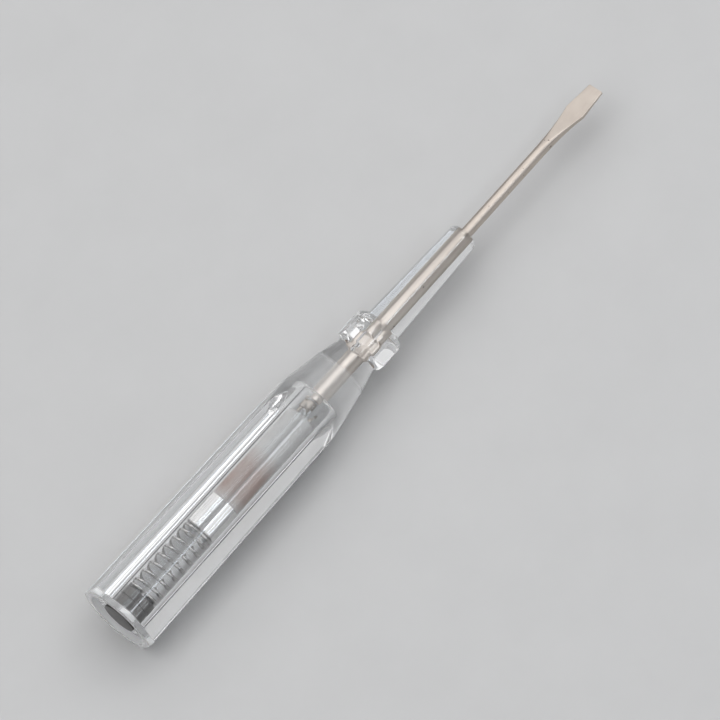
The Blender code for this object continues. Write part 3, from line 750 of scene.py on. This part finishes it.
def hexagon_reach(angles, radius, corner_cut):
    """Distance from the axis to a hexagon whose corners are cut a little flat, at each angle."""
    side = 2 * HALF_SIDE
    turn = np.abs((angles + HALF_SIDE) % side - HALF_SIDE)
    flat = radius * math.cos(HALF_SIDE) / np.cos(HALF_SIDE - turn)
    return soft_least(flat, (radius - corner_cut) / np.cos(turn), CORNER_SOFTENING)


def turned_hexagon(angles, radius, corner_cut, turned_to):
    """Distance from the axis to a hexagon that is turned down to a radius, at each angle."""
    reach = hexagon_reach(angles, radius, corner_cut)
    return soft_least(reach, np.full_like(reach, turned_to), MOULD_EDGE)


def outline_radius(outline, x):
    """Radius of a turned outline at a place along the tool."""
    places, radii = zip(*outline)
    return float(np.interp(x, places, radii))


def barrel_radius(x):
    """Radius over the corners of the barrel, which narrows forwards."""
    draft = (BARREL_REAR_RADIUS - BARREL_FRONT_RADIUS) / CONE_START
    return BARREL_REAR_RADIUS - draft * x


def mould_line_places():
    """Places across the fine raised line at the cone's front edge."""
    reach = 3 * MOULD_LINE_WIDTH
    return stations(CONE_END - reach, CONE_END + reach, MOULD_LINE_STATIONS)


def body_outline():
    """What the body is turned to, from behind the rear rounding to the nose's end rounding."""
    slope = (BARREL_FRONT_RADIUS - CONE_END_RADIUS) / (CONE_END - CONE_START)
    blend_start = CONE_START - CONE_START_BLEND
    blend_end = CONE_START + CONE_START_BLEND
    outline = softened([
        (REAR_ROUNDING, barrel_radius(REAR_ROUNDING)),
        (blend_start, barrel_radius(blend_start)),
        (blend_end, BARREL_FRONT_RADIUS - slope * CONE_START_BLEND),
        (CONE_END, CONE_END_RADIUS),
        (GUARD_START, NECK_END_RADIUS),
        (GUARD_START + GUARD_LENGTH, NOSE_REAR_RADIUS),
        (nose_end - NOSE_END_ROUNDING, NOSE_FRONT_RADIUS),
    ], BODY_SOFTENING)
    with_line = []
    for x in sorted({place for place, _ in outline} | set(mould_line_places())):
        line = MOULD_LINE_HEIGHT * math.exp(-((x - CONE_END) / MOULD_LINE_WIDTH) ** 2)
        with_line.append((x, outline_radius(outline, x) + line))
    return with_line


def guard_outline():
    """What the guard is turned to: a chamfer behind and a round shoulder ahead."""
    end = GUARD_START + GUARD_LENGTH
    outline = [
        (GUARD_START, GUARD_REAR_RADIUS_SHARE * GUARD_RADIUS),
        (GUARD_START + GUARD_REAR_CHAMFER, GUARD_RADIUS),
    ]
    outline += arc(
        end - GUARD_FRONT_ROUNDING, NOSE_REAR_RADIUS,
        GUARD_FRONT_ROUNDING, GUARD_RADIUS - NOSE_REAR_RADIUS, 90, 0, ARC_STEPS * 2,
    )
    return outline


def outer_rings(angles):
    """Rings over the outside of the handle, each as (x, radii)."""
    nose_face = nose_end - NOSE_END_ROUNDING
    cone_blend = CONE_START - CONE_START_BLEND
    guard_end = GUARD_START + GUARD_LENGTH
    rounding_start = guard_end - GUARD_FRONT_ROUNDING
    body = body_outline()
    guard = guard_outline()
    rings = []
    for x, radius in arc(
        REAR_ROUNDING, BARREL_REAR_RADIUS - REAR_ROUNDING, REAR_ROUNDING, REAR_ROUNDING, 180, 90,
    ):
        rings.append((x, turned_hexagon(angles, barrel_radius(x), BARREL_CORNER_CUT, radius)))
    line = mould_line_places()
    places = stations(REAR_ROUNDING, cone_blend, BARREL_STATIONS)[1:]
    places += stations(cone_blend, line[0], CONE_STATIONS)
    places += line
    places += stations(CONE_END + 3 * MOULD_LINE_WIDTH, GUARD_START, NECK_STATIONS)
    places += stations(GUARD_START, rounding_start, GUARD_STATIONS)
    for i in range(GUARD_STATIONS):
        way = i / GUARD_STATIONS
        places.append(rounding_start + GUARD_FRONT_ROUNDING * math.sin(math.pi / 2 * way))
    places += stations(guard_end, nose_face, NOSE_STATIONS)
    for x in places:
        radii = turned_hexagon(
            angles, barrel_radius(x), BARREL_CORNER_CUT, outline_radius(body, x),
        )
        if GUARD_START <= x < guard_end:
            flange = turned_hexagon(
                angles, GUARD_RADIUS, GUARD_CORNER_CUT, outline_radius(guard, x),
            )
            radii = soft_most(radii, flange, MOULD_EDGE)
        rings.append((x, radii))
    for x, radius in arc(
        nose_face, NOSE_FRONT_RADIUS - NOSE_END_ROUNDING,
        NOSE_END_ROUNDING, NOSE_END_ROUNDING, 90, 0,
    ):
        rings.append((x, np.full_like(angles, radius)))
    return rings


def inner_outline():
    """Shaft channel, bore and rear recess, from the nose's face back to the rear rim."""
    grip = SHAFT_RADIUS - MOULDED_GRIP
    outline = [(nose_end, grip), (BORE_END, grip)]
    outline += arc(
        BORE_END - BORE_END_ROUNDING, BORE_RADIUS - BORE_END_ROUNDING,
        BORE_END_ROUNDING, BORE_END_ROUNDING, 0, 90,
    )
    outline += softened([
        outline[-1],
        (RECESS_DEPTH, BORE_RADIUS),
        (RECESS_DEPTH, RECESS_RADIUS),
        (0.0, RECESS_RADIUS),
        (0.0, BARREL_REAR_RADIUS - REAR_ROUNDING),
    ], OPENING_EDGE)[1:-1]
    return outline


def make_handle(materials):
    """The clear moulding: one skin over the outside and back through its openings."""
    angles = hexagon_angles()
    rings = outer_rings(angles)
    rings += [(x, np.full_like(angles, radius)) for x, radius in inner_outline()]
    points = []
    for x, radii in rings:
        across = radii * np.cos(angles)
        heights = AXIS_HEIGHT + radii * np.sin(angles)
        points.append([(rear + x, y, z) for y, z in zip(across, heights)])
    vertices, faces = skinned(points, closed=True)
    add_piece(
        "clear_handle", vertices, faces, materials["clear_plastic"],
        "tester", "handle",
    )


# Shaft


def rounded_rectangle(width, thickness, rounding, roll):
    """A rectangle across the tool; it is a circle when its rounding is half of both sizes."""
    points = []
    for quarter, (side, top) in enumerate(((1, 1), (-1, 1), (-1, -1), (1, -1))):
        centre_y = side * (width / 2 - rounding)
        centre_z = top * (thickness / 2 - rounding)
        for i in range(SECTION_STEPS + 1):
            angle = math.pi / 2 * (quarter + i / SECTION_STEPS)
            y = centre_y + rounding * math.cos(angle)
            z = centre_z + rounding * math.sin(angle)
            points.append((
                y * math.cos(roll) - z * math.sin(roll),
                y * math.sin(roll) + z * math.cos(roll),
            ))
    return points


def shaft_sizes(x, shoulder):
    """Width, thickness and edge rounding of the shaft at a place along it."""
    diameter = 2 * SHAFT_RADIUS
    wing_end = WING_START + WING_LENGTH
    wing = soft_step((x - WING_START) / WING_RUN_OUT) * soft_step((wing_end - x) / WING_RUN_OUT)
    if wing > 0:
        thickness = diameter + (WING_THICKNESS - diameter) * wing
        return diameter + (WING_WIDTH - diameter) * wing, thickness, thickness / 2
    flat = soft_step((x - shoulder + FLATTENING_LENGTH) / FLATTENING_LENGTH)
    thickness = diameter + (SHOULDER_THICKNESS - diameter) * flat
    flare = min(max((x - shoulder + FLARE_LENGTH) / FLARE_LENGTH, 0.0), 1.0)
    width = diameter + (SHOULDER_WIDTH - diameter) * flare ** 2
    return width, thickness, thickness / 2 * (1 - flat) + BLADE_EDGE_ROUNDING * flat


def make_shaft(materials):
    """The shaft with its two pressed wings and its forged flat blade."""
    start = shaft_low.x - rear
    tip = shaft_high.x - rear
    shoulder = tip - SHOULDER_TO_TIP
    wing_end = WING_START + WING_LENGTH
    end_radius = SHAFT_RADIUS - SHAFT_END_CHAMFER
    sections = [(start, 2 * end_radius, 2 * end_radius, end_radius)]
    places = [start + SHAFT_END_CHAMFER]
    places += stations(WING_START, WING_START + WING_RUN_OUT, RUN_OUT_STATIONS)
    places += stations(WING_START + WING_RUN_OUT, wing_end - WING_RUN_OUT, WING_STATIONS)
    places += stations(wing_end - WING_RUN_OUT, wing_end, RUN_OUT_STATIONS)
    places += stations(wing_end, shoulder - FLATTENING_LENGTH, SHAFT_STATIONS)
    places += stations(shoulder - FLATTENING_LENGTH, shoulder, FLARE_STATIONS)
    for x in places:
        sections.append((x, *shaft_sizes(x, shoulder)))
    run = SHOULDER_TO_TIP - TIP_CORNER_ROUNDING
    for i in range(TAPER_STATIONS + 1):
        way = i / TAPER_STATIONS
        width = SHOULDER_WIDTH + (TIP_WIDTH - SHOULDER_WIDTH) * way
        thickness = SHOULDER_THICKNESS + (TIP_THICKNESS - SHOULDER_THICKNESS) * way
        sections.append((shoulder + run * way, width, thickness, BLADE_EDGE_ROUNDING))
    for i in range(1, EDGE_STEPS + 1):
        angle = math.pi / 2 * i / EDGE_STEPS
        width = TIP_WIDTH - 2 * TIP_CORNER_ROUNDING * (1 - math.cos(angle))
        x = tip - TIP_CORNER_ROUNDING * (1 - math.sin(angle))
        sections.append((x, width, TIP_THICKNESS, BLADE_EDGE_ROUNDING))
    rings = []
    for x, width, thickness, rounding in sections:
        section = rounded_rectangle(width, thickness, rounding, BLADE_ROLL)
        rings.append([(rear + x, y, AXIS_HEIGHT + z) for y, z in section])
    vertices, faces = skinned(rings, closed=False)
    add_piece(
        "forged_shaft", vertices, faces, materials["nickel_steel"],
        "tester", "blade_shaft",
    )


# Plug and spring


def make_plug(materials):
    """A flange in the recess, a grooved body in the bore and a spigot for the spring."""
    start, end, flange, _ = span("contact_plug")
    body = BORE_RADIUS - PLUG_FIT
    seat = RECESS_DEPTH - SEATED
    groove_end = PLUG_GROOVE_START + PLUG_GROOVE_WIDTH
    outline = softened([
        (start, 0),
        (start, flange),
        (seat, flange),
        (seat, body),
        (PLUG_GROOVE_START, body),
        (PLUG_GROOVE_START, body - PLUG_GROOVE_DEPTH),
        (groove_end, body - PLUG_GROOVE_DEPTH),
        (groove_end, body),
        (PLUG_BODY_END - PLUG_CHAMFER, body),
        (PLUG_BODY_END, body - PLUG_CHAMFER),
        (PLUG_BODY_END, PLUG_SPIGOT_RADIUS),
        (end - PLUG_CHAMFER, PLUG_SPIGOT_RADIUS),
        (end, PLUG_SPIGOT_RADIUS - PLUG_CHAMFER),
        (end, 0),
    ], SOFT_EDGE)
    turned("turned_plug", outline, materials, "plug_unit", "contact_plug", "plug_metal")


def make_spring(materials):
    """The wound spring from the plug to the ferrule."""
    first = PLUG_BODY_END + SEATED + SPRING_WIRE / 2
    last = span("lamp_ferrule")[0] - SEATED - SPRING_WIRE / 2
    close_length = SPRING_END_TURNS * SPRING_END_PITCH
    open_pitch = (last - first - 2 * close_length) / SPRING_ACTIVE_TURNS
    turns = SPRING_ACTIVE_TURNS + 2 * SPRING_END_TURNS
    count = round(turns * SPRING_POINTS_PER_TURN)
    points = []
    for i in range(count + 1):
        turn = turns * i / count
        open_turns = min(max(turn - SPRING_END_TURNS, 0), SPRING_ACTIVE_TURNS)
        along = first + (turn - open_turns) * SPRING_END_PITCH + open_turns * open_pitch
        angle = 2 * math.pi * turn
        points.append(Vector((
            rear + along,
            SPRING_MEAN_RADIUS * math.cos(angle),
            AXIS_HEIGHT + SPRING_MEAN_RADIUS * math.sin(angle),
        )))
    spring = wire(
        "wound_spring", points, SPRING_WIRE / 2, materials,
        "plug_unit", "contact_spring", "spring_steel",
    )
    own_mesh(spring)


# Lamp unit


def make_ferrule(materials):
    """A drawn cup with a hole for the lead, and the dome of solder on its rear."""
    start, end, radius, _ = span("lamp_ferrule")
    inner = radius - FERRULE_WALL
    floor = start + FERRULE_FLOOR
    outline = arc(
        start + FERRULE_EDGE, radius - FERRULE_EDGE, FERRULE_EDGE, FERRULE_EDGE, 180, 90,
    )
    outline += softened([outline[-1], (end, radius), (end, inner), (floor, inner)], SOFT_EDGE)[1:]
    outline += [(floor, LEAD_HOLE), (start, LEAD_HOLE)]
    turned("drawn_ferrule", outline, materials, "lamp_unit", "lamp_ferrule", "bright_tin")
    start, end, radius, _ = span("ferrule_solder")
    outline = arc(end, 0, end - start, radius, 180, 90)
    outline.append((end, 0))
    outline[0] = (start, 0)
    turned("solder_dome", outline, materials, "lamp_unit", "ferrule_solder", "solder")


def make_sleeve(materials):
    """The frosted tube, with a spigot in the ferrule and a domed front end."""
    start, end, radius, _ = span("lamp_sleeve")
    step = span("lamp_ferrule")[1] + SEATED
    spigot = span("lamp_ferrule")[2] - FERRULE_WALL - SLEEVE_GAP
    dome_start = end - SLEEVE_DOME
    outline = softened([
        (start, spigot - SLEEVE_WALL),
        (start, spigot),
        (step, spigot),
        (step, radius),
        (dome_start, radius),
    ], SOFT_EDGE)
    outline += arc(dome_start, radius - SLEEVE_DOME, SLEEVE_DOME, SLEEVE_DOME, 90, 0)[1:]
    inner = radius - SLEEVE_WALL
    inner_end = end - SLEEVE_END_WALL
    rounding = (SLEEVE_DOME - SLEEVE_WALL) / 2
    outline += [(end, STEM_HOLE), (inner_end, STEM_HOLE)]
    outline += arc(inner_end - rounding, inner - rounding, rounding, rounding, 0, 90)
    outline += [(step + SLEEVE_WALL, inner), (step + SLEEVE_WALL, spigot - SLEEVE_WALL)]
    turned("frosted_sleeve", outline, materials, "lamp_unit", "lamp_sleeve", "frosted_glass")


def make_rod(node, slot, materials):
    """A round rod or wire with softened ends, of the node's own size."""
    start, end, radius, side = span(node)
    outline = softened([(start, 0), (start, radius), (end, radius), (end, 0)], radius / 3)
    turned(node + "_round", outline, materials, "lamp_unit", node, slot, side)


def make_resistor(materials):
    """A coated body between two pressed caps, with its two wires and the crimp ahead of it."""
    start, end, radius, _ = span("resistor_body")
    rear_base, rear_rim, cap_radius, _ = span("resistor_cap_rear")
    front_rim, front_base = span("resistor_cap_front")[:2]
    cap_inner = cap_radius - CAP_WALL
    neck = cap_inner - SEATED
    outline = softened([
        (start, 0),
        (start, neck),
        (rear_rim + SEATED, neck),
        (rear_rim + SEATED, radius - RESISTOR_EDGE),
        (rear_rim + RESISTOR_EDGE, radius),
        (front_rim - RESISTOR_EDGE, radius),
        (front_rim - SEATED, radius - RESISTOR_EDGE),
        (front_rim - SEATED, neck),
        (end, neck),
        (end, 0),
    ], SOFT_EDGE)
    turned("coated_resistor", outline, materials, "lamp_unit", "resistor_body", "resistor_coat")
    for node, base, rim in (
        ("resistor_cap_rear", rear_base, rear_rim),
        ("resistor_cap_front", front_base, front_rim),
    ):
        floor = base + math.copysign(CAP_WALL, rim - base)
        outline = softened([
            (base, 0),
            (base, cap_radius),
            (rim, cap_radius),
            (rim, cap_inner),
            (floor, cap_inner),
            (floor, 0),
        ], SOFT_EDGE)
        turned(node + "_pressed", outline, materials, "lamp_unit", node, "bright_tin")
    make_rod("resistor_lead_rear", "bright_tin", materials)
    make_rod("resistor_lead_front", "bright_tin", materials)
    start, end, radius, side = span("lead_crimp")
    inner = radius - CRIMP_WALL
    outline = [(start, inner), (start, radius), (end, radius), (end, inner)]
    outline = softened(outline, SOFT_EDGE, closed=True)
    turned("crimped_sleeve", outline, materials, "lamp_unit", "lead_crimp", "bright_tin", side)


def make_bulb(materials):
    """The neon bulb, blown round its two electrodes and nipped off at its tip."""
    start, end, radius, _ = span("neon_bulb")
    seal_end = start + BULB_SEAL_LENGTH
    dome_centre = end - BULB_TIP_LENGTH - radius
    tip_angle = math.degrees(math.asin(BULB_TIP_RADIUS / radius))
    outline = [(start, 0), (start, BULB_SEAL_RADIUS), (seal_end, radius)]
    outline += arc(dome_centre, 0, radius, radius, 90, tip_angle, ARC_STEPS * 2)
    outline += [(end, BULB_TIP_RADIUS), (end, 0)]
    vertices, faces = turned_skin(softened(outline, SOFT_EDGE))
    inner = radius - BULB_WALL
    hollow = [(seal_end, 0), (seal_end, inner)]
    hollow += arc(dome_centre, 0, inner, inner, 90, 0)[:-1]
    hollow.append((dome_centre + inner, 0))
    inside, walls = turned_skin(hollow)
    outside = len(vertices)
    hollow_from = len(faces)
    vertices += inside
    faces += [tuple(outside + corner for corner in face) for face in walls]
    add_piece(
        "blown_bulb", vertices, faces, materials["bulb_glass"],
        "lamp_unit", "neon_bulb", hollow_from,
    )
    for side in ("left", "right"):
        make_rod("electrode_" + side, "electrode_nickel", materials)
        make_rod("electrode_lead_" + side, "lead_wire", materials)


def make_return_lead(materials):
    """The wire that turns round behind the bulb and runs forward beside it."""
    low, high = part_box("return_lead")
    radius = (high.z - low.z) / 2
    outer = high.y - radius
    turn_x = low.x + radius
    points = [Vector((turn_x, low.y, AXIS_HEIGHT))]
    for i in range(ARC_STEPS + 1):
        angle = math.pi / 2 * i / ARC_STEPS
        x = turn_x + RETURN_LEAD_BEND * (1 - math.cos(angle))
        y = outer - RETURN_LEAD_BEND * (1 - math.sin(angle))
        points.append(Vector((x, y, AXIS_HEIGHT)))
    bend_end = points[-1].x
    for i in range(1, RETURN_LEAD_POINTS + 1):
        x = bend_end + (high.x - bend_end) * i / RETURN_LEAD_POINTS
        points.append(Vector((x, outer, AXIS_HEIGHT)))
    wire("bent_return_lead", points, radius, materials, "lamp_unit", "return_lead", "lead_wire")


def make_front_contact(materials):
    """A disc inside the dome, a stem through it and a rounded head that touches the shaft."""
    start, end, radius, _ = span("front_contact")
    disc_end = start + CONTACT_DISC_THICKNESS
    head_start = end - CONTACT_HEAD_LENGTH
    rounding_start = end - CONTACT_HEAD_ROUNDING
    outline = softened([
        (start, 0),
        (start, radius),
        (disc_end, radius),
        (disc_end, CONTACT_STEM_RADIUS),
        (head_start, CONTACT_STEM_RADIUS),
        (head_start, CONTACT_HEAD_RADIUS),
        (rounding_start, CONTACT_HEAD_RADIUS),
    ], SOFT_EDGE)
    outline += arc(
        rounding_start, CONTACT_HEAD_RADIUS - CONTACT_HEAD_ROUNDING,
        CONTACT_HEAD_ROUNDING, CONTACT_HEAD_ROUNDING, 90, 0,
    )[1:]
    outline.append((end, 0))
    # The front contact gets the darker tin, painted shade that dims its highlight
    turned(
        "headed_contact", outline, materials,
        "lamp_unit", "front_contact", "bright_tin", look="shade_painted_tin",
    )


# Stage


def direction(azimuth, elevation):
    """From the object towards a place seen at this azimuth and elevation."""
    return Vector((
        math.sin(azimuth) * math.cos(elevation),
        -math.cos(azimuth) * math.cos(elevation),
        math.sin(elevation),
    ))


def make_camera():
    """The photograph's point of view, from so far away that lines stay parallel."""
    towards = direction(CAMERA_AZIMUTH, CAMERA_ELEVATION)
    turn = (-towards).to_track_quat("-Z", "Y").to_matrix() @ Matrix.Rotation(CAMERA_ROLL, 3, "Z")
    aim = Vector((0, 0, AXIS_HEIGHT)) + AIM_RIGHT * turn.col[0] + AIM_UP * turn.col[1]
    data = bpy.data.cameras.new("camera")
    data.sensor_width = SENSOR_WIDTH
    data.lens = data.sensor_width * CAMERA_DISTANCE / VIEW_WIDTH
    data.clip_start = CLIP_START
    data.clip_end = CLIP_END
    camera = bpy.data.objects.new("camera", data)
    bpy.context.scene.collection.objects.link(camera)
    camera.matrix_world = Matrix.Translation(aim + towards * CAMERA_DISTANCE) @ turn.to_4x4()
    bpy.context.scene.camera = camera


def make_softbox(name, azimuth, elevation, width, height, power, colour):
    """A soft lamp that faces the object."""
    data = bpy.data.lights.new(name, "AREA")
    data.shape = "RECTANGLE"
    data.size = width
    data.size_y = height
    data.energy = power
    data.color = colour
    lamp = bpy.data.objects.new(name, data)
    bpy.context.scene.collection.objects.link(lamp)
    towards = direction(math.radians(azimuth), math.radians(elevation))
    lamp.location = towards * LAMP_DISTANCE
    lamp.rotation_mode = "QUATERNION"
    lamp.rotation_quaternion = (-towards).to_track_quat("-Z", "Y")


def make_world():
    """A plain pale room, darker between its horizon and its ceiling."""
    world = bpy.data.worlds.new("studio")
    bpy.context.scene.world = world
    world.use_nodes = True
    tree = world.node_tree
    background = tree.nodes["Background"]
    place = tree.nodes.new("ShaderNodeTexCoord")
    parts = tree.nodes.new("ShaderNodeSeparateXYZ")
    tree.links.new(place.outputs["Generated"], parts.inputs["Vector"])
    above_horizon = rising(tree, parts.outputs["Z"], *HORIZON_FADE)
    at_ceiling = rising(tree, parts.outputs["Z"], *CEILING_FADE)
    walls = blended(tree, above_horizon, HORIZON_GREY, WALL_GREY)
    tree.links.new(blended(tree, at_ceiling, walls, CEILING_GREY), background.inputs["Color"])
    background.inputs["Strength"].default_value = 1.0


def make_floor():
    """A plain pale floor just below the tool."""
    shape = bmesh.new()
    bmesh.ops.create_grid(shape, x_segments=1, y_segments=1, size=FLOOR_HALF_WIDTH)
    mesh = bpy.data.meshes.new("floor")
    shape.to_mesh(mesh)
    shape.free()
    material, tree, shader = new_material("floor_finish")
    grain = noise(tree, FLOOR_GRAIN_SCALE, detail=4.0, roughness=0.6)
    pale = blended(tree, rising(tree, grain, *NOISE_SPAN), *FLOOR_GREYS)
    tree.links.new(pale, shader.inputs["Base Color"])
    shader.inputs["Roughness"].default_value = FLOOR_ROUGHNESS
    mesh.materials.append(material)
    floor = bpy.data.objects.new("floor", mesh)
    bpy.context.scene.collection.objects.link(floor)
    floor.location.z = cad_low.z - FLOOR_GAP


def main():
    """Builds the pieces, then the stage."""
    bpy.context.scene.view_settings.view_transform = "Standard"
    materials = make_materials()
    for make in (
        make_handle, make_shaft, make_plug, make_spring, make_ferrule, make_sleeve,
        make_resistor, make_bulb, make_return_lead, make_front_contact,
    ):
        make(materials)
    make_camera()
    make_world()
    make_floor()
    for softbox in SOFTBOXES:
        make_softbox(*softbox)
    cycles = bpy.context.scene.cycles
    cycles.max_bounces = MAX_BOUNCES
    cycles.glossy_bounces = CLEAR_BOUNCES
    cycles.transmission_bounces = CLEAR_BOUNCES


main()
